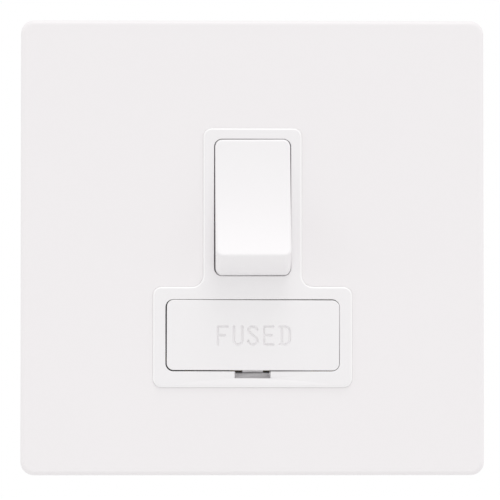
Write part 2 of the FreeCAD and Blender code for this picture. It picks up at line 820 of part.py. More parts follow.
def rear_housing():
    """Deep moulding in the wall box, with open cells for the six terminals along its edges."""
    piece = Piece("rear_housing")
    outer = Rectangle(0, 0, S.housing_width, S.housing_height, S.housing_corner_radius)
    piece.add("y", 0, S.housing_depth, outer)
    inner_width = S.housing_width - 2 * S.housing_wall
    inner_height = S.housing_height - 2 * S.housing_wall
    inner_radius = S.housing_corner_radius - S.housing_wall
    piece.cut("y", 0, housing_floor, Rectangle(0, 0, inner_width, inner_height, inner_radius))
    for x, z in CASE_SCREWS:
        piece.add("y", 0, housing_floor + S.housing_wall / 2, Disc(x, z, S.case_post_radius))
    cell_half = S.terminal_width / 2 + S.cell_clearance
    cell_root = terminal_row - S.terminal_height / 2 - S.cell_clearance
    for _, column, row in TERMINALS:
        left = column * S.terminal_spacing - cell_half
        right = column * S.terminal_spacing + cell_half
        far = inner_height / 2 + S.housing_wall / 2
        walls = Span(left - S.cell_wall, right + S.cell_wall, *sorted_pair(row, cell_root - S.cell_wall, far))
        piece.add("y", deck, housing_floor + S.housing_wall / 2, walls)
    for _, column, row in TERMINALS:
        left = column * S.terminal_spacing - cell_half
        right = column * S.terminal_spacing + cell_half
        open_cell = Span(left, right, *sorted_pair(row, cell_root, S.housing_height))
        piece.cut("y", deck, S.housing_depth, open_cell)
    # Seats and ribs that carry the contact strips, and the rests for the arms' lower ends
    rest_middle = rocker_axis_z - S.arm_lower_reach + S.rib_thickness / 2
    half_rib = S.rib_thickness / 2
    rib_low = S.carrier_opening_centre - S.strip_width / 2
    rib_high = rocker_axis_z + S.strip_width / 2
    for side in (-1, 1):
        x = side * pole_x
        strip_x = side * (S.live_strip_centre if side < 0 else S.neutral_strip_centre)
        seat = Rectangle(x, rocker_axis_z, S.strip_width, S.cradle_length)
        contact_seat = Rectangle(x, fixed_contact_z, S.strip_width, S.rib_thickness)
        rib = Span(strip_x - half_rib, strip_x + half_rib, rib_low, rib_high)
        rest = Rectangle(x, rest_middle, S.arm_width, S.rib_thickness)
        for profile in (seat, contact_seat, rib):
            piece.add("y", deck, housing_floor + S.housing_wall / 2, profile)
        piece.add("y", arm_rest_front, housing_floor + S.housing_wall / 2, rest)
    for x, z in CASE_SCREWS:
        piece.cut("y", 0, S.housing_depth, Disc(x, z, S.case_screw_radius + S.screw_clearance))
        recess = Disc(x, z, S.case_head_radius + S.case_head_clearance)
        head_depth = S.case_head_height + S.case_head_recess
        piece.cut("y", S.housing_depth - head_depth, S.housing_depth, recess)


def stand_with_rocker(piece):
    """Put a piece that is drawn about the rocker's axle where the rocker rests."""
    piece.stand(0, rocker_axis_y, rocker_axis_z, Vector(-1, 0, 0), S.rocker_half_travel)


def stand_with_arm(piece, pole):
    """Put a piece that is drawn about an arm's knee where the open arm rests."""
    piece.stand(POLES[pole] * pole_x, arm_axis_y, rocker_axis_z, Vector(1, 0, 0), S.arm_half_travel)


def joins(edge, first, last):
    """True for an edge on a side face that runs between two points of the outline, at either end."""
    if len(edge.Vertexes) != 2 or edge.BoundBox.XLength > TOLERANCE:
        return False
    found = sorted((vertex.Y, abs(vertex.Z)) for vertex in edge.Vertexes)
    wanted = sorted((y.value, z.value) for y, z in (first, last))
    return all(abs(a - b) < TOLERANCE for got, want in zip(found, wanted) for a, b in zip(got, want))


def is_front_edge(edge, ridge_y):
    """True for the edges round the rocker's hollow front face."""
    box = edge.BoundBox
    deepest = (ridge_y + S.rocker_face_hollow).value + TOLERANCE
    return box.YMax < deepest and box.YMin < ridge_y.value + TOLERANCE


def rocker():
    """Rocker about its own axle: hollow front face, rounded ends, two plunger tubes behind."""
    piece = Piece("rocker")
    half_width = S.rocker_opening_width / 2 - S.rocker_side_gap
    ridge_y, base_y = -ridge_height, -S.rocker_base_height
    skirt_reach = rocker_reach - S.rocker_skirt
    side = ArcOutline(
        [
            (ridge_y, -S.rocker_ridge_reach),
            (base_y, -rocker_reach),
            (S.rocker_skirt, -skirt_reach),
            (S.rocker_skirt, skirt_reach),
            (base_y, rocker_reach),
            (ridge_y, S.rocker_ridge_reach),
        ],
        {0: rocker_radius, 4: rocker_radius, 5: -hollow_radius},
    )
    piece.add("x", -half_width, half_width, side)
    piece.round_edges(
        S.opening_corner_radius - S.rocker_side_gap,
        lambda edge: joins(edge, (ridge_y, S.rocker_ridge_reach), (base_y, rocker_reach)),
    )
    piece.round_edges(S.rocker_edge_radius, lambda edge: is_front_edge(edge, ridge_y))
    hub = S.axle_radius + S.rocker_skin
    half_hollow = half_width - S.rocker_skin
    hollow_front = ridge_y + S.rocker_face_hollow + S.rocker_skin
    near, far = hub + S.rocker_hollow_inset, S.rocker_ridge_reach - S.rocker_hollow_inset
    wells = [Span(-half_hollow, half_hollow, *sorted_pair(side, near, far)) for side in (-1, 1)]
    piece.cut("y", hollow_front, S.rocker_skirt, *wells)
    tubes = [Disc(sign * pole_x, 0, S.plunger_tube_radius) for sign in (-1, 1)]
    piece.add("y", 0, S.plunger_tube_reach, *tubes)
    bores = [Disc(sign * pole_x, 0, S.plunger_radius + S.plunger_clearance) for sign in (-1, 1)]
    piece.cut("y", 0, S.plunger_tube_reach, *bores)
    axle_end = half_width + S.axle_length
    for low, high in ((-axle_end, -half_width), (half_width, axle_end)):
        piece.add("x", low, high, Disc(0, 0, S.axle_radius))
    stand_with_rocker(piece)


def rocker_plungers():
    """Round-nosed plungers, their tails in the rocker's tubes and their noses on the arms."""
    piece = Piece("rocker_plungers", solids=2)
    tip = S.plunger_reach + S.plunger_radius
    pins = [Disc(sign * pole_x, 0, S.plunger_radius) for sign in (-1, 1)]
    piece.add("y", S.plunger_tail, tip, *pins)
    piece.round_edges(S.plunger_radius - S.plunger_nose_flat, lambda edge: flat_at(edge, "Y", tip))
    stand_with_rocker(piece)


def rocker_springs():
    """Compression springs in the tubes, between the rocker and the plungers' tails."""
    piece = Piece("rocker_springs", solids=2)
    bore_radius = S.plunger_radius + S.plunger_clearance
    coil_radius = bore_radius - S.spring_clearance - S.spring_wire / 2
    low = S.spring_clearance + S.spring_wire / 2
    high = S.plunger_tail - S.spring_clearance - S.spring_wire / 2
    for sign in (-1, 1):
        piece.coil(sign * pole_x, low, high, coil_radius, S.spring_wire / 2, S.spring_turns)
    stand_with_rocker(piece)


def contact_arm(pole):
    """See-saw contact arm: a strip with a shallow V knee, and two knife-edged lugs at the knee."""
    piece = Piece(f"contact_arm_{pole}")
    front = arm_back - S.arm_thickness
    strip = Outline(
        [
            (0, 0),
            (arm_back, S.arm_knee_length),
            (arm_back, S.arm_upper_reach),
            (front, S.arm_upper_reach),
            (front, S.arm_knee_length),
            (-S.arm_thickness, 0),
            (front, -S.arm_knee_length),
            (front, -S.arm_lower_reach),
            (arm_back, -S.arm_lower_reach),
            (arm_back, -S.arm_knee_length),
        ]
    )
    piece.add("x", -S.arm_width / 2, S.arm_width / 2, strip)
    lug = Outline(
        [
            (0, 0),
            (-S.arm_lug_edge, S.arm_lug_half),
            (-S.arm_thickness, S.arm_lug_half),
            (-S.arm_thickness, -S.arm_lug_half),
            (-S.arm_lug_edge, -S.arm_lug_half),
        ]
    )
    lug_end = S.arm_width / 2 + S.arm_side_gap + S.cradle_ear_thickness + S.arm_side_gap
    piece.add("x", -lug_end, lug_end, lug)
    stand_with_arm(piece, pole)


def contact_tip(pole):
    """Domed silver button riveted on the back of the arm's upper end."""
    piece = Piece(f"contact_tip_{pole}")
    dome = S.tip_dome_radius - root(S.tip_dome_radius * S.tip_dome_radius - S.tip_radius * S.tip_radius)
    half = ArcOutline(
        [
            (0, tip_apex),
            (0, arm_back),
            (S.tip_radius, arm_back),
            (S.tip_radius, tip_apex - dome),
        ],
        {3: S.tip_dome_radius},
    )
    piece.turn("z", half, S.arm_contact_reach)
    stand_with_arm(piece, pole)


def fixed_tips():
    """Flat silver buttons that the arms close on."""
    piece = Piece("fixed_tips", solids=2)
    tips = [Disc(sign * pole_x, fixed_contact_z, S.tip_radius) for sign in (-1, 1)]
    piece.add("y", fixed_tip_front, strip_front, *tips)


def fixed_contact(pole):
    """Brass strip from the fixed contact to the supply terminal above it."""
    piece = Piece(f"fixed_contact_{pole}")
    side = POLES[pole]
    inner = side * (pole_x - S.strip_width / 2)
    near = side * (S.terminal_spacing - S.strip_tail_width / 2)
    far = side * (S.terminal_spacing + S.strip_tail_width / 2)
    low, high = fixed_contact_z - S.fixed_strip_height / 2, fixed_contact_z + S.fixed_strip_height / 2
    top = terminal_row + S.strip_tail_width / 2
    strip = Outline([(inner, low), (far, low), (far, top), (near, top), (near, high), (inner, high)])
    piece.add("y", strip_front, deck, strip)


def arm_cradle(pole):
    """Brass strip that carries the arm's knee on a pedestal between two notched ears."""
    piece = Piece(f"arm_cradle_{pole}")
    side = POLES[pole]
    live = pole == "live"
    centre = S.live_strip_centre if live else S.neutral_strip_centre
    width = S.live_strip_width if live else S.neutral_strip_width
    low = S.carrier_opening_centre - S.strip_width / 2 if live else -terminal_row - S.strip_tail_width / 2
    ear_low = S.arm_width / 2 + S.arm_side_gap
    ear_high = ear_low + S.cradle_ear_thickness
    inner = side * (pole_x - ear_high)
    near, far = side * (centre - width / 2), side * (centre + width / 2)
    base_low, base_high = rocker_axis_z - S.cradle_length / 2, rocker_axis_z + S.cradle_length / 2
    strip = Outline(
        [(inner, base_high), (far, base_high), (far, low), (near, low), (near, base_low), (inner, base_low)]
    )
    piece.add("y", strip_front, deck, strip)
    seat = arm_axis_y + S.cradle_gap
    piece.add("y", seat, strip_front, Rectangle(side * pole_x, rocker_axis_z, S.arm_width, S.cradle_pedestal))
    for hand in (-1, 1):
        ear = Span(
            *(side * pole_x + edge for edge in sorted_pair(hand, ear_low, ear_high)),
            rocker_axis_z - S.cradle_length / 2,
            rocker_axis_z + S.cradle_length / 2,
        )
        piece.add("y", arm_axis_y - S.cradle_ear_height, strip_front + S.strip_thickness / 2, ear)
    notch = Rectangle(side * pole_x, rocker_axis_z, 2 * ear_high, 2 * S.cradle_notch_half)
    piece.cut("y", arm_axis_y - S.cradle_ear_height, seat, notch)


def fuse_clip(side, label):
    """Sprung U clip round one fuse cap, with flared lips and a leg back to its strip."""
    piece = Piece(label)
    centre = S.carrier_opening_centre
    inner = S.fuse_cap_radius + S.clip_clearance
    outer = inner + S.clip_thickness
    shoulder, lip = S.clip_arm_reach, S.clip_arm_reach - S.clip_lip
    upper = [
        (clip_base_back, outer),
        (shoulder, outer),
        (lip, outer + S.clip_flare),
        (lip, inner + S.clip_flare),
        (shoulder, inner),
        (clip_base_front, inner),
    ]
    corners = [(y, centre + height) for y, height in upper]
    corners += [(y, centre - height) for y, height in reversed(upper)]
    low_x, high_x = sorted_pair(side, S.clip_centre - S.clip_width / 2, S.clip_centre + S.clip_width / 2)
    piece.add("x", low_x, high_x, Outline(corners))
    leg_outer = S.clip_leg_inset + S.clip_thickness
    low_z, high_z = centre - S.strip_width / 2, centre + S.strip_width / 2
    shelf = Span(*sorted_pair(side, S.clip_centre, leg_outer), low_z, high_z)
    piece.add("y", clip_base_front, clip_base_back, shelf)
    leg = Span(*sorted_pair(side, S.clip_leg_inset, leg_outer), low_z, high_z)
    if side < 0:
        piece.add("y", clip_base_front, strip_front, leg)
        return
    piece.add("y", clip_base_front, deck, leg)
    tail = S.strip_tail_width / 2
    foot = -terminal_row - tail
    strip = [
        (leg_outer, low_z),
        (leg_outer, high_z),
        (-tail, high_z),
        (-tail, foot),
        (tail, foot),
        (tail, low_z),
    ]
    piece.add("y", strip_front, deck, Outline(strip))


def terminal(label, column, row):
    """Brass terminal block with a wire bore from the edge and a tapped hole from the back."""
    piece = Piece(label)
    x, z = column * S.terminal_spacing, row * terminal_row
    block = Rectangle(x, z, S.terminal_width, S.terminal_height, S.terminal_edge)
    piece.add("y", deck, terminal_back, block)
    half = S.terminal_height / 2
    piece.cut("z", z - half, z + half, Disc(x, terminal_bore_y, S.terminal_bore_radius))
    piece.cut("y", terminal_bore_y, terminal_back, Disc(x, z, S.clamp_screw_radius + S.screw_clearance))


def screws(label, places, tip, seat, head_back, shank_radius, head_radius):
    """Slotted screws that enter from the back, one at each place."""
    piece = Piece(label, solids=len(places))
    piece.add("y", tip, seat, *[Disc(x, z, shank_radius) for x, z in places])
    piece.add("y", seat, head_back, *[Disc(x, z, head_radius) for x, z in places])
    slots = [Rectangle(x, z, S.screw_slot_width, 2 * head_radius + S.screw_slot_width) for x, z in places]
    piece.cut("y", head_back - S.screw_slot_depth, head_back, *slots)


def terminal_screws():
    places = [(column * S.terminal_spacing, row * terminal_row) for _, column, row in TERMINALS]
    tip = terminal_bore_y + S.terminal_bore_radius + S.clamp_tip_gap
    seat = terminal_back + S.clamp_head_gap
    head_back = seat + S.clamp_head_height
    screws("terminal_screws", places, tip, seat, head_back, S.clamp_screw_radius, S.clamp_head_radius)


def case_screws():
    head_back = S.housing_depth - S.case_head_recess
    seat = head_back - S.case_head_height
    tip = flange_front + S.case_tip_inset
    screws("case_screws", CASE_SCREWS, tip, seat, head_back, S.case_screw_radius, S.case_head_radius)


def fuse_carrier():
    """Pull-out drawer: face with a pry lip behind, two guide rails and two saddles for the fuse."""
    piece = Piece("fuse_carrier")
    centre = S.carrier_opening_centre
    width = S.carrier_opening_width - 2 * S.carrier_gap
    height = S.carrier_opening_height - 2 * S.carrier_gap
    face = Rectangle(0, centre, width, height, S.opening_corner_radius - S.carrier_gap)
    piece.add("y", insert_front, carrier_face_back, face)
    piece.round_edges(S.carrier_edge_radius, lambda edge: flat_at(edge, "Y", insert_front))
    lip = Span(
        -S.pry_lip_width / 2,
        S.pry_lip_width / 2,
        centre - S.carrier_opening_height / 2 - S.pry_lip_reach,
        centre - height / 2 + S.pry_lip_root,
    )
    piece.add("y", carrier_face_back, carrier_face_back + S.pry_lip_thickness, lip)
    rail_outer = width / 2 - S.carrier_gap / 2
    low_z, high_z = centre - S.rail_height / 2, centre + S.rail_height / 2
    rail_inner = rail_outer - S.rail_thickness
    rails = [Span(*sorted_pair(side, rail_inner, rail_outer), low_z, high_z) for side in (-1, 1)]
    piece.add("y", carrier_face_back, carrier_face_back + S.rail_reach, *rails)
    bore = S.fuse_barrel_radius + S.saddle_clearance
    spine = Rectangle(0, centre, 2 * S.saddle_outer, S.spine_thickness)
    piece.add("y", carrier_face_back, S.fuse_depth - bore, spine)
    half = bore + S.saddle_wall
    for side in (-1, 1):
        block = Span(carrier_face_back, S.fuse_depth + S.saddle_grip, centre - half, centre + half)
        piece.add("x", *sorted_pair(side, S.saddle_inner, S.saddle_outer), block)
    piece.cut("x", -S.saddle_outer, S.saddle_outer, Disc(S.fuse_depth, centre, bore))


def fuse_barrel():
    """Ceramic barrel of the cartridge fuse."""
    piece = Piece("fuse_barrel")
    end = S.fuse_length / 2 - S.fuse_cap_end
    piece.add("x", -end, end, Disc(S.fuse_depth, S.carrier_opening_centre, S.fuse_barrel_radius))


def fuse_end_caps():
    """Plated brass cups over the two ends of the fuse."""
    piece = Piece("fuse_end_caps", solids=2)
    half = S.fuse_length / 2
    for side in (-1, 1):
        cap = Disc(S.fuse_depth, S.carrier_opening_centre, S.fuse_cap_radius)
        piece.add("x", *sorted_pair(side, half - S.fuse_cap_length, half), cap)
    mouth = Disc(S.fuse_depth, S.carrier_opening_centre, S.fuse_barrel_radius + S.fuse_cap_clearance)
    piece.cut("x", S.fuse_cap_end - half, half - S.fuse_cap_end, mouth)


def build():
    """Make every piece of the unit."""
    cover_plate()
    mounting_plate()
    front_insert()
    rear_housing()
    rocker()
    rocker_plungers()
    rocker_springs()
    for pole in POLES:
        contact_arm(pole)
        contact_tip(pole)
        arm_cradle(pole)
        fixed_contact(pole)
    fixed_tips()
    for label, column, row in TERMINALS:
        terminal(label, column, row)
    terminal_screws()
    fuse_clip(-1, "fuse_clip_supply")
    fuse_clip(1, "fuse_clip_load")
    fuse_carrier()
    fuse_barrel()
    fuse_end_caps()
    case_screws()


build()
doc.recompute()

failed = [item.Name for item in doc.Objects if "Invalid" in item.State or "Error" in item.State]
if failed:
    raise RuntimeError(f"failed features: {failed}")
for node in NODES:
    node.check()
    shape = node.shape()
    if shape.isNull() or not shape.isValid() or len(shape.Solids) != node.solids:
        raise RuntimeError(f"{node.body.Label}: bad shape with {len(shape.Solids)} solids")
for node in NODES:
    node.shape().exportStep(f"parts/{node.body.Label}.step")
    print(node.body.Label, len(node.shape().Solids), round(node.shape().Volume, 1))
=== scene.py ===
# %% [markdown]
# # A fused spur unit in satin white
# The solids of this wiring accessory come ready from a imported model. This lesson photographs them:
# it sets up a camera and soft light, and then gives every piece the finish of the real one.
# The model keeps to one frame: +X to the right, +Z up, the front facing -Y, all in metres.

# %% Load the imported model
import math

import bpy
from mathutils import Matrix, Vector


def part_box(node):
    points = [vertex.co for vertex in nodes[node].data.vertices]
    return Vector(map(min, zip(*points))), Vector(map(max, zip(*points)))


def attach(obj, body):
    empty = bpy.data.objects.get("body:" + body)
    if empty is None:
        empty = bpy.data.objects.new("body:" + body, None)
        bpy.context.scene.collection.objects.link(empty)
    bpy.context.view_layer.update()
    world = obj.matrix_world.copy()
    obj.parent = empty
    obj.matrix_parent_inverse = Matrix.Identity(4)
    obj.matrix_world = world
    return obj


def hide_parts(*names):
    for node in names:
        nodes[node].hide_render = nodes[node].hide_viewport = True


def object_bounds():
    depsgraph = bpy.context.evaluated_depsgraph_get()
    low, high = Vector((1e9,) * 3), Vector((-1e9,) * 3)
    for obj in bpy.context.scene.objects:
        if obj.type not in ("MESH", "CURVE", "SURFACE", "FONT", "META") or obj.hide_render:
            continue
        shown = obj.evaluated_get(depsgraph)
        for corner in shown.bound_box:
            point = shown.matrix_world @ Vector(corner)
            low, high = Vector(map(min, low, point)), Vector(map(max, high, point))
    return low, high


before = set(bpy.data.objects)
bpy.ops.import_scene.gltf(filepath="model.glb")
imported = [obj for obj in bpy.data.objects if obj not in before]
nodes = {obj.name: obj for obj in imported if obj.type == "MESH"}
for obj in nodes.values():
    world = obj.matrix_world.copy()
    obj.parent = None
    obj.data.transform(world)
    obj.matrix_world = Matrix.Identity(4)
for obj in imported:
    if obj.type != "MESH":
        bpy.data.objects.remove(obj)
cad_low, cad_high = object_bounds()
print("pieces from the model:", len(nodes))

# %% [markdown]
# ## Camera
# A plate like this is photographed from nearly a metre away with a long lens, so that its sides
# stay parallel. The camera stands a little to the left and a little low, so the lower sides of the
# plate and the T show as a thin grey line and the upper sides hide.

# %% Place the camera
CAMERA_DISTANCE = 0.9
CAMERA_YAW = math.radians(1.5)
CAMERA_PITCH = math.radians(2.0)
VIEW_WIDTH = 0.0971
SENSOR_WIDTH = 36.0
AIM = Vector((-0.00050, -0.0056, -0.00050))

camera_data = bpy.data.cameras.new("camera")
camera_data.sensor_width = SENSOR_WIDTH
camera_data.lens = SENSOR_WIDTH * CAMERA_DISTANCE / VIEW_WIDTH
camera = bpy.data.objects.new("camera", camera_data)
bpy.context.scene.collection.objects.link(camera)
towards_camera = Vector((-math.tan(CAMERA_YAW), -1.0, -math.tan(CAMERA_PITCH))).normalized()
camera.location = AIM + towards_camera * CAMERA_DISTANCE
camera.rotation_euler = (-towards_camera).to_track_quat("-Z", "Y").to_euler()
bpy.context.scene.camera = camera
print("lens in millimetres:", round(camera_data.lens, 1))

# %% [markdown]
# ## Writing materials as sums
# A material is a graph of nodes, and long lists of links are hard to read. A small class holds one
# output of a node and lets Python's own signs build the maths nodes, so a mask reads as a formula.

# %% Helpers for materials
class Wire:
    """One output of a node, ready for arithmetic."""

    def __init__(self, graph, socket):
        self.graph = graph
        self.socket = socket

    def maths(self, operation, first, second):
        return self.graph.node("ShaderNodeMath", {"operation": operation}, {0: first, 1: second})

    def __add__(self, other):
        return self.maths("ADD", self, other)

    def __radd__(self, other):
        return self.maths("ADD", other, self)

    def __sub__(self, other):
        return self.maths("SUBTRACT", self, other)

    def __rsub__(self, other):
        return self.maths("SUBTRACT", other, self)

    def __mul__(self, other):
        return self.maths("MULTIPLY", self, other)

    def __rmul__(self, other):
        return self.maths("MULTIPLY", other, self)

    def __gt__(self, other):
        return self.maths("GREATER_THAN", self, other)

    def __lt__(self, other):
        return self.maths("LESS_THAN", self, other)


class Graph:
    """A node tree that is built one node at a time."""

    def __init__(self, tree):
        self.tree = tree

    def feed(self, socket, value):
        """Link a wire to a socket, or set the socket's own value."""
        if isinstance(value, Wire):
            self.tree.links.new(value.socket, socket)
        else:
            socket.default_value = value

    def node(self, kind, settings=None, inputs=None, output=0):
        """Add a node: its settings first, then its inputs, by name or by number."""
        made = self.tree.nodes.new(kind)
        for key, value in (settings or {}).items():
            setattr(made, key, value)
        for key, value in (inputs or {}).items():
            self.feed(made.inputs[key], value)
        return Wire(self, made.outputs[output])


class Finish(Graph):
    """A material with one Principled shader."""

    def __init__(self, name, **sockets):
        self.material = bpy.data.materials.new(name)
        self.material.use_nodes = True
        super().__init__(self.material.node_tree)
        self.shader = self.tree.nodes["Principled BSDF"]
        self.set(**sockets)
        self.place = self.node("ShaderNodeTexCoord", output="Object")

    def set(self, **sockets):
        """Feed the shader's sockets, named in lower case with underscores."""
        for key, value in sockets.items():
            title = key.replace("_", " ").title().replace("Ior", "IOR")
            self.feed(self.shader.inputs[title], value)

    def noise(self, size, detail=2.0, stretch=None):
        """Cloudy noise from 0 to 1 whose clouds are about that size in metres."""
        place = self.place
        if stretch:
            place = self.node("ShaderNodeMapping", inputs={"Vector": place, "Scale": stretch})
        sockets = {"Vector": place, "Scale": 1.0 / size, "Detail": detail, "Roughness": 0.5}
        return self.node("ShaderNodeTexNoise", inputs=sockets)

    def blend(self, mask, first, second):
        """A colour between two others, by a mask from 0 to 1."""
        made = self.tree.nodes.new("ShaderNodeMix")
        made.data_type = "RGBA"
        self.feed(made.inputs["Factor"], mask)
        self.feed(made.inputs["A"], first)
        self.feed(made.inputs["B"], second)
        return Wire(self, made.outputs["Result"])

    def bumped(self, height, depth):
        """Surface relief of that depth in metres."""
        sockets = {"Height": height, "Distance": depth, "Strength": 1.0}
        self.set(normal=self.node("ShaderNodeBump", inputs=sockets))


def colour(red, green, blue):
    """A colour for a socket, from a colour as a picture shows it, 0 to 255."""
    linear = []
    for level in (red, green, blue):
        share = level / 255
        linear.append(((share + 0.055) / 1.055) ** 2.4 if share > 0.04045 else share / 12.92)
    return (*linear, 1.0)


# %% [markdown]
# ## Stage and light
# White on white needs light that tells the edges apart. A bright room lights every side. Two broad
# lamps above, one of them almost along the wall, lift the upper edges and lay a soft shadow under
# the rocker. Two weak lamps graze the plate from the sides and draw the rim of the T. The
# background is white where the picture looks straight at it, which adds no light to the object.

# %% Light the stage
ROOM_LEVEL = 0.79
LAMPS = [
    ("top_lamp", 0.11, math.radians(40), Vector((0.16, -0.55, 0.80))),
    ("roof_lamp", 0.16, math.radians(30), Vector((0.10, -0.28, 0.95))),
    ("left_lamp", 0.08, math.radians(30), Vector((-0.96, -0.28, 0.10))),
    ("right_lamp", 0.06, math.radians(30), Vector((0.96, -0.28, 0.10))),
]
WHITE = (1.0, 1.0, 1.0, 1.0)

bpy.context.scene.view_settings.view_transform = "Standard"


def looked_at(graph):
    """1 for rays that carry the picture, straight or by way of metal or glass, and 0 for light."""
    outputs = graph.node("ShaderNodeLightPath").socket.node.outputs
    camera_ray = Wire(graph, outputs["Is Camera Ray"])
    glossy_ray = Wire(graph, outputs["Is Glossy Ray"])
    clear_ray = Wire(graph, outputs["Is Transmission Ray"])
    return camera_ray + glossy_ray + clear_ray > 0.5


world = bpy.data.worlds.new("room")
world.use_nodes = True
bpy.context.scene.world = world
room = Graph(world.node_tree)
background = room.tree.nodes["Background"]
background.inputs["Color"].default_value = WHITE
room.feed(background.inputs["Strength"], ROOM_LEVEL + looked_at(room) * (1.0 - ROOM_LEVEL))

for name, level, softness, direction in LAMPS:
    lamp_data = bpy.data.lights.new(name, "SUN")
    lamp_data.energy = level * math.pi
    lamp_data.angle = softness
    lamp = bpy.data.objects.new(name, lamp_data)
    lamp.rotation_euler = direction.to_track_quat("Z", "Y").to_euler()
    bpy.context.scene.collection.objects.link(lamp)
print("room level:", ROOM_LEVEL, "and lamps:", len(LAMPS))

# %% [markdown]
# The floor is one large plain sheet, some way below the unit. It looks white and throws a little
# less light back up. It has no underside, so a camera that looks up from below still sees the unit.

# %% Lay the floor
FLOOR_SIZE = 6.0
FLOOR_GAP = 0.060
BOUNCE = (0.90, 0.90, 0.90, 1.0)

bpy.ops.object.select_all(action="DESELECT")
bpy.ops.mesh.primitive_plane_add(size=FLOOR_SIZE, location=(0.0, 0.0, cad_low.z - FLOOR_GAP))
floor = bpy.context.object
floor.name = "floor"
floor_finish = Finish("pale_floor", roughness=1.0, specular_ior_level=0.0)
floor_finish.set(base_color=floor_finish.blend(looked_at(floor_finish), BOUNCE, WHITE))
from_below = floor_finish.node("ShaderNodeNewGeometry", output="Backfacing")
top_side = Wire(floor_finish, floor_finish.shader.outputs["BSDF"])
underside = floor_finish.node("ShaderNodeBsdfTransparent")
two_sides = {0: from_below, 1: top_side, 2: underside}
surface = floor_finish.node("ShaderNodeMixShader", inputs=two_sides)
floor_finish.feed(floor_finish.tree.nodes["Material Output"].inputs["Surface"], surface)
floor.data.materials.append(floor_finish.material)
print("floor at", round(floor.location.z, 4))

# %% [markdown]
# ## White mouldings
# Cover, insert, rocker and carrier are moulded in the same white, but not from one tool. The mould
# of the cover is spark-eroded to a fine satin grain. The insert and carrier are smoother, and the
# rocker is nearly polished, so it looks a shade brighter. The housing in the wall is a plainer,
# duller white. A trace of cloudiness keeps large faces alive.

# %% Finishes for the white mouldings
PLASTIC_IOR = 1.49
CLOUD_SIZE = 0.012
SHEEN_PATCH = 0.0009
SHEEN_CHANGE = 0.10


def satin(finish, shade, darker, roughness, grain, grain_depth):
    """Lay satin plastic on a finish, and return its cloudy colour and its uneven roughness."""
    cloudy = finish.blend(finish.noise(CLOUD_SIZE, detail=3.0), shade, darker)
    uneven = roughness + (finish.noise(SHEEN_PATCH) - 0.5) * SHEEN_CHANGE
    finish.set(base_color=cloudy, roughness=uneven)
    finish.bumped(finish.noise(grain, detail=3.0), grain_depth)
    return cloudy, uneven


def white_moulding(name, **surface):
    """The material of a plain satin white moulding."""
    finish = Finish(name, ior=PLASTIC_IOR)
    satin(finish, **surface)
    return finish.material


cover_white = white_moulding(
    "cover_white", shade=colour(240, 237, 238), darker=colour(239, 236, 237),
    roughness=0.46, grain=0.00012, grain_depth=0.000003,
)
carrier_white = white_moulding(
    "carrier_white", shade=colour(240, 238, 239), darker=colour(239, 237, 238),
    roughness=0.42, grain=0.00010, grain_depth=0.000002,
)
rocker_white = white_moulding(
    "rocker_white", shade=colour(242, 240, 241), darker=colour(241, 239, 240),
    roughness=0.33, grain=0.00010, grain_depth=0.000001,
)
housing_white = white_moulding(
    "housing_white", shade=colour(226, 225, 220), darker=colour(222, 221, 215),
    roughness=0.55, grain=0.00018, grain_depth=0.000006,
)
for white in (cover_white, carrier_white, rocker_white, housing_white):
    print("finish made:", white.name)

# %% [markdown]
# The rim of the T is where the two halves of its mould meet and are polished to fit, so it comes out
# glossier than the face. Its colour is also painted whiter than the face, a painted highlight, so
# the
# T shows as a thin bright line on the plate. The rim is what lies lower than the face and outside
# the two openings.

# %% Finish for the insert, with a painted highlight on its rim
RIM_DROP = 0.00003
STEM_HALF, STEM_LOW, STEM_HIGH = 0.0084, -0.0060, 0.0220
FOOT_HALF, FOOT_LOW, FOOT_HIGH = 0.0178, -0.0260, -0.0126
RIM_PAINTED_HIGHLIGHT = colour(248, 247, 247)
RIM_POLISH = 0.12
face_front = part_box("front_insert")[0][1]

rim_finish = Finish("insert_white", ior=PLASTIC_IOR)
face_colour, face_roughness = satin(
    rim_finish, shade=colour(240, 238, 239), darker=colour(239, 237, 238),
    roughness=0.42, grain=0.00010, grain_depth=0.000002,
)
axes = rim_finish.node("ShaderNodeSeparateXYZ", inputs={"Vector": rim_finish.place})
across, inward, up = [Wire(rim_finish, axes.socket.node.outputs[axis]) for axis in "XYZ"]
aside = across.maths("ABSOLUTE", across, 0.0)
in_stem = (aside < STEM_HALF) * (up > STEM_LOW) * (up < STEM_HIGH)
in_foot = (aside < FOOT_HALF) * (up > FOOT_LOW) * (up < FOOT_HIGH)
rim = (inward > face_front + RIM_DROP) * (1.0 - in_stem) * (1.0 - in_foot)
# Painted highlight: the rim is coloured whiter than the face, in place of the light its round edge
# catches.
rim_finish.set(base_color=rim_finish.blend(rim, face_colour, RIM_PAINTED_HIGHLIGHT))
rim_finish.set(roughness=face_roughness - rim * RIM_POLISH)
insert_white = rim_finish.material
print("finish made:", insert_white.name, "with a rim behind", round(face_front + RIM_DROP, 5))

# %% [markdown]
# ## Metals, ceramic and nylon
# Behind the plate the unit is brass, zinc-plated steel and a little silver. Stamped strip has a
# fine rolled grain along its length, plating has soft patches, and machined brass is brighter
# still.

# %% Finishes for the metals
ALONG_Z = (1.0, 1.0, 0.08)
ALONG_X = (0.08, 1.0, 1.0)
EVEN = (1.0, 1.0, 1.0)
STREAK_CHANGE = 0.16
PATCH_CHANGE = 0.10


def metal(name, shade, darker, roughness, patch, grain, grain_depth, stretch):
    """Bare metal: soft patches in its colour and a stretched, rolled grain."""
    finish = Finish(name, metallic=1.0)
    patches = finish.noise(patch, detail=4.0)
    streaks = finish.noise(grain, detail=2.0, stretch=stretch)
    uneven = roughness + (streaks - 0.5) * STREAK_CHANGE + (patches - 0.5) * PATCH_CHANGE
    finish.set(base_color=finish.blend(patches, shade, darker), roughness=uneven)
    finish.bumped(streaks, grain_depth)
    return finish.material


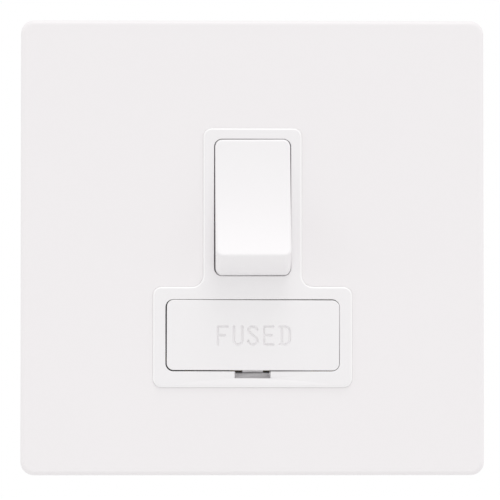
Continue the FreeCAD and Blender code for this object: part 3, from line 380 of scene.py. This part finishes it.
zinc_steel = metal(
    "zinc_steel", colour(205, 208, 212), colour(182, 187, 193),
    roughness=0.34, patch=0.004, grain=0.0003, grain_depth=0.000003, stretch=ALONG_Z,
)
screw_zinc = metal(
    "screw_zinc", colour(210, 211, 206), colour(190, 190, 180),
    roughness=0.28, patch=0.0015, grain=0.0002, grain_depth=0.000002, stretch=EVEN,
)
spring_steel = metal(
    "spring_steel", colour(186, 188, 192), colour(165, 168, 173),
    roughness=0.30, patch=0.001, grain=0.0001, grain_depth=0.000001, stretch=ALONG_X,
)
strip_brass = metal(
    "strip_brass", colour(222, 190, 118), colour(204, 168, 95),
    roughness=0.27, patch=0.003, grain=0.0002, grain_depth=0.000002, stretch=ALONG_Z,
)
block_brass = metal(
    "block_brass", colour(228, 197, 126), colour(212, 178, 104),
    roughness=0.24, patch=0.004, grain=0.00025, grain_depth=0.000002, stretch=ALONG_X,
)
contact_silver = metal(
    "contact_silver", colour(236, 234, 230), colour(222, 219, 213),
    roughness=0.26, patch=0.0008, grain=0.0001, grain_depth=0.000001, stretch=EVEN,
)
cap_nickel = metal(
    "cap_nickel", colour(214, 210, 202), colour(200, 196, 188),
    roughness=0.24, patch=0.002, grain=0.0002, grain_depth=0.000001, stretch=ALONG_X,
)
for bare in (zinc_steel, screw_zinc, spring_steel, strip_brass, block_brass, contact_silver,
             cap_nickel):
    print("finish made:", bare.name)

# %% [markdown]
# The fuse's barrel is fired ceramic: matt, speckled and a little glazed. The plungers are nylon in
# its natural colour, slightly yellow and hazy.

# %% Finishes for the ceramic and the nylon
SPECKLE_SIZE = 0.0004
SPECKLE_DEPTH = 0.000004
SPECKLE_CHANGE = 0.2
HAZE_SIZE = 0.0012
NYLON_GRAIN = 0.0001
NYLON_DEPTH = 0.000002

ceramic_finish = Finish("fired_ceramic", ior=1.55, coat_weight=0.25, coat_roughness=0.25)
speckle = ceramic_finish.noise(SPECKLE_SIZE, detail=3.0)
ceramic_finish.set(
    base_color=ceramic_finish.blend(speckle, colour(236, 232, 222), colour(228, 222, 209)),
    roughness=0.5 + (speckle - 0.5) * SPECKLE_CHANGE,
)
ceramic_finish.bumped(speckle, SPECKLE_DEPTH)

nylon_finish = Finish("natural_nylon", ior=1.53, roughness=0.4)
haze = nylon_finish.noise(HAZE_SIZE)
nylon_finish.set(base_color=nylon_finish.blend(haze, colour(232, 229, 216), colour(224, 220, 204)))
nylon_finish.bumped(nylon_finish.noise(NYLON_GRAIN), NYLON_DEPTH)
print("finishes made:", ceramic_finish.material.name, "and", nylon_finish.material.name)

# %% [markdown]
# ## Who wears what
# One table pairs each piece with its finish, so it shows at a glance what is moulded, what carries
# the current and what only holds. The six terminals are cut from the same brass bar, which every
# piece gets that isn't in the table.

# %% Dress the pieces of the model
FINISHES = {
    "cover_plate": cover_white,
    "front_insert": insert_white,
    "fuse_carrier": carrier_white,
    "rocker": rocker_white,
    "rear_housing": housing_white,
    "mounting_plate": zinc_steel,
    "case_screws": screw_zinc,
    "terminal_screws": block_brass,
    "rocker_springs": spring_steel,
    "rocker_plungers": nylon_finish.material,
    "contact_arm_live": strip_brass,
    "contact_arm_neutral": strip_brass,
    "arm_cradle_live": strip_brass,
    "arm_cradle_neutral": strip_brass,
    "fixed_contact_live": strip_brass,
    "fixed_contact_neutral": strip_brass,
    "fuse_clip_supply": strip_brass,
    "fuse_clip_load": strip_brass,
    "contact_tip_live": contact_silver,
    "contact_tip_neutral": contact_silver,
    "fixed_tips": contact_silver,
    "fuse_barrel": ceramic_finish.material,
    "fuse_end_caps": cap_nickel,
}
for name, node in nodes.items():
    node.data.materials.clear()
    node.data.materials.append(FINISHES.get(name, block_brass))
print("dressed:", len(nodes))

# %% [markdown]
# ## Copies that stand for a piece
# Three mouldings differ a little from the model, by their shape, by play or by a word cut into
# them. The model's own piece is left alone. A copy is merged into one skin, shaped and shaded, and
# then stands for the piece and moves with the same body.

# %% Helpers for such copies
MERGE_DISTANCE = 0.0000001


def choose(*chosen):
    """Select these objects alone, the first of them active."""
    bpy.ops.object.select_all(action="DESELECT")
    for item in chosen:
        item.select_set(True)
    bpy.context.view_layer.objects.active = chosen[0]


def apply_modifier(item, kind, **settings):
    """Add a modifier to an object, set it and apply it."""
    choose(item)
    bpy.ops.object.modifier_add(type=kind)
    modifier = item.modifiers[-1]
    for key, value in settings.items():
        setattr(modifier, key, value)
    bpy.ops.object.modifier_apply(modifier=modifier.name)


def merged_copy(name, node_name):
    """A copy of a node whose loose triangles are joined into one skin."""
    copy = bpy.data.objects.new(name, nodes[node_name].data.copy())
    bpy.context.scene.collection.objects.link(copy)
    choose(copy)
    bpy.ops.object.mode_set(mode="EDIT")
    bpy.ops.mesh.select_all(action="SELECT")
    bpy.ops.mesh.remove_doubles(threshold=MERGE_DISTANCE)
    bpy.ops.object.mode_set(mode="OBJECT")
    return copy


def smooth(piece, sharpest):
    """Shade a merged skin smoothly, apart from edges that turn by more degrees than that."""
    choose(piece)
    bpy.ops.object.shade_smooth_by_angle(angle=math.radians(sharpest))
    apply_modifier(piece, "WEIGHTED_NORMAL", keep_sharp=True)


def stand_in(piece, node_name, joint_body):
    """Let a white moulding move with a body and stand for its node."""
    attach(piece, joint_body)
    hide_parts(node_name)
    print(piece.name, "has", len(piece.data.polygons), "faces")


# %% [markdown]
# ## Play in the openings
# The rocker and the carrier have play, so on a real unit neither sits quite straight. The carrier
# lies against the right-hand wall of its opening, and the rocker is turned a hair. That makes some
# gaps wide and dark and others nearly vanish. Only the front of each copy is moved, and the shift
# fades out inwards, so that its guides and axle stay where they are.

# %% A helper that lets a piece lean in its opening
FULL_SHIFT_Y = -0.0036
NO_SHIFT_Y = 0.0020


def lean(piece, middle, angle, shift):
    """Turn the front of a piece about a middle, clockwise as the camera sees it, and shift it."""
    turn = Matrix.Rotation(math.radians(angle), 3, "Y")
    for vertex in piece.data.vertices:
        share = (NO_SHIFT_Y - vertex.co.y) / (NO_SHIFT_Y - FULL_SHIFT_Y)
        moved = middle + turn @ (vertex.co - middle) + shift
        vertex.co = vertex.co.lerp(moved, min(1.0, max(0.0, share)))


# %% [markdown]
# ## The rocker's worn-in ridge
# The ridge at each end of the rocker is what a finger pushes. On the real switch it lies a trifle
# lower than in the model, and the hollow between the two ridges is flatter. Both come from one
# squeeze of a copy: every point in front of the axle sinks in proportion to its height, and moves
# outwards just so far that the round ends stay on their circle about the axle.

# %% Ease the ridge
AXLE = Vector((0.0, -0.0016, 0.00776))
TILT = math.radians(13.5)
END_RADIUS = 0.013905
SQUEEZE_START = 0.0015
SQUEEZE = 0.906
ROCKER_TURN = -0.19
ROCKER_SHIFT = Vector((0.00005, 0.0, 0.0))
BROAD_CURVES = 30

outwards = Vector((0.0, -math.cos(TILT), math.sin(TILT)))
downwards = Vector((0.0, -math.sin(TILT), -math.cos(TILT)))
eased_rocker = merged_copy("eased_rocker", "rocker")
for vertex in eased_rocker.data.vertices:
    arm = vertex.co - AXLE
    height, reach = arm.dot(outwards), arm.dot(downwards)
    if height > SQUEEZE_START:
        sunk = SQUEEZE_START + (height - SQUEEZE_START) * SQUEEZE
        spread = math.sqrt((END_RADIUS**2 - sunk**2) / (END_RADIUS**2 - height**2))
        vertex.co = vertex.co + outwards * (sunk - height) + downwards * reach * (spread - 1.0)
lean(eased_rocker, AXLE, ROCKER_TURN, ROCKER_SHIFT)
smooth(eased_rocker, BROAD_CURVES)
stand_in(eased_rocker, "rocker", "rocker")

# %% [markdown]
# ## A shallower finger notch
# Below the carrier a fingernail goes into a small notch and finds a lip. Behind the notch a slot
# lets the lip through. On the real unit both are very shallow: two dark corners and no more. The
# floor of the slot and the end of the lip are raised together, in copies of both pieces.

# %% Raise the slot and the lip
SLOT_LIFT = Vector((0.0, 0.0, 0.00032))
SLOT_HALF = 0.0034
SLOT_FRONT = -0.0043
SLOT_FLOOR = -0.0247
LIP_END = -0.02463
LIFT_REACH = 0.00008
SMALL_STEPS = 18


def lift_level(piece, level):
    """Raise the points of a small level step behind the notch."""
    lifted = 0
    for vertex in piece.data.vertices:
        across, inward, up = vertex.co
        if abs(across) < SLOT_HALF and inward > SLOT_FRONT and abs(up - level) < LIFT_REACH:
            vertex.co = vertex.co + SLOT_LIFT
            lifted += 1
    print(piece.name, "points raised:", lifted)


eased_insert = merged_copy("eased_insert", "front_insert")
lift_level(eased_insert, SLOT_FLOOR)
smooth(eased_insert, SMALL_STEPS)
stand_in(eased_insert, "front_insert", "base")

# %% [markdown]
# ## The word on the carrier
# The carrier says what it holds in small plain capitals. A round-nosed cutter ran along each
# stroke, so every stroke is a shallow round groove: its upper wall lies in shade and its lower wall
# catches the light. Raised or printed letters would shade the other way, or not at all.

# %% Strokes of the letters, in millimetres
MM = 0.001
CAP_LINE, BAR_LINE, BASE_LINE = -15.40, -17.06, -18.84


def bend(x, z, reach, rise, start, finish, steps=10):
    """Points along an oval arc, with its angles in degrees."""
    angles = [math.radians(start + (finish - start) * step / steps) for step in range(steps + 1)]
    return [(x + reach * math.cos(angle), z + rise * math.sin(angle)) for angle in angles]


F_STEM, F_ARM, F_BAR = -6.74, 1.85, 1.30
U_MIDDLE, U_HALF = -2.82, 0.80
S_MIDDLE, S_TOP, S_BOTTOM = 0.04, (0.87, 0.64), (0.90, 0.76)
E_STEM, E_ARM, E_BAR = 2.24, 1.75, 1.40
D_STEM, D_TAIL, D_TURN, D_BOWL = 5.68, 0.40, 0.62, (0.92, 1.00)
STROKES = [
    [(F_STEM, BASE_LINE), (F_STEM, CAP_LINE), (F_STEM + F_ARM, CAP_LINE)],
    [(F_STEM, BAR_LINE), (F_STEM + F_BAR, BAR_LINE)],
    [
        (U_MIDDLE - U_HALF, CAP_LINE),
        *bend(U_MIDDLE, BASE_LINE + U_HALF, U_HALF, U_HALF, 180, 360),
        (U_MIDDLE + U_HALF, CAP_LINE),
    ],
    [
        *bend(S_MIDDLE, CAP_LINE - S_TOP[1], *S_TOP, 5, 225),
        *bend(S_MIDDLE, BASE_LINE + S_BOTTOM[1], *S_BOTTOM, 50, -172),
    ],
    [
        (E_STEM + E_ARM, CAP_LINE),
        (E_STEM, CAP_LINE),
        (E_STEM, BASE_LINE),
        (E_STEM + E_ARM, BASE_LINE),
    ],
    [(E_STEM, BAR_LINE), (E_STEM + E_BAR, BAR_LINE)],
    [
        (D_STEM - D_TAIL, CAP_LINE),
        *bend(D_STEM + D_TURN, CAP_LINE - D_BOWL[1], *D_BOWL, 90, 0),
        *bend(D_STEM + D_TURN, BASE_LINE + D_BOWL[1], *D_BOWL, 0, -90),
        (D_STEM - D_TAIL, BASE_LINE),
    ],
    [(D_STEM, CAP_LINE), (D_STEM, BASE_LINE)],
]
print("strokes:", len(STROKES))

# %% [markdown]
# A tube is laid along every stroke, with a ball at each end where the cutter went in and came out.
# Tubes that cross are awkward for a Boolean. The Remesh modifier melts them into one closed skin
# first, and a Smooth modifier takes its faint steps away.

# %% Lay the strokes and melt them together
CUTTER_RADIUS = 0.00028
GROOVE_DEPTH = 0.00032
BALL_SEGMENTS, BALL_RINGS = 20, 12
VOXEL_SIZE = 0.00005
face_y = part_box("fuse_carrier")[0][1]
cutter_y = face_y + GROOVE_DEPTH - CUTTER_RADIUS


def lay_tube(points):
    """A round tube along one stroke."""
    curve = bpy.data.curves.new("stroke", "CURVE")
    curve.dimensions = "3D"
    curve.bevel_depth = CUTTER_RADIUS
    curve.bevel_resolution = 4
    curve.use_fill_caps = True
    spline = curve.splines.new("POLY")
    spline.points.add(len(points) - 1)
    for point, (x, z) in zip(spline.points, points):
        point.co = (x * MM, cutter_y, z * MM, 1.0)
    tube = bpy.data.objects.new("stroke", curve)
    bpy.context.scene.collection.objects.link(tube)
    return tube


def lay_ball(x, z):
    """A ball at one end of a stroke."""
    bpy.ops.mesh.primitive_uv_sphere_add(
        segments=BALL_SEGMENTS, ring_count=BALL_RINGS, radius=CUTTER_RADIUS,
        location=(x * MM, cutter_y, z * MM),
    )
    return bpy.context.object


tubes = [lay_tube(points) for points in STROKES]
balls = [lay_ball(*end) for points in STROKES for end in (points[0], points[-1])]
choose(*tubes, *balls)
bpy.ops.object.convert(target="MESH")
bpy.ops.object.join()
cutter = bpy.context.object
apply_modifier(cutter, "REMESH", mode="VOXEL", voxel_size=VOXEL_SIZE)
apply_modifier(cutter, "SMOOTH", factor=0.5, iterations=3)
print("faces of the cutter:", len(cutter.data.polygons))

# %% [markdown]
# The carrier's copy gets its raised lip and its lean first. Then a Boolean takes the melted strokes
# out of it, with the exact solver, which copes with many small faces.

# %% Cut the grooves
CARRIER_MIDDLE = Vector((0.0, 0.0, -0.017075))
CARRIER_TURN = 0.2
CARRIER_SHIFT = Vector((0.00009, 0.0, 0.00003))

engraved_carrier = merged_copy("engraved_carrier", "fuse_carrier")
lift_level(engraved_carrier, LIP_END)
lean(engraved_carrier, CARRIER_MIDDLE, CARRIER_TURN, CARRIER_SHIFT)
apply_modifier(engraved_carrier, "BOOLEAN", operation="DIFFERENCE", solver="EXACT", object=cutter)
bpy.data.objects.remove(cutter)
smooth(engraved_carrier, SMALL_STEPS)
stand_in(engraved_carrier, "fuse_carrier", "carrier")
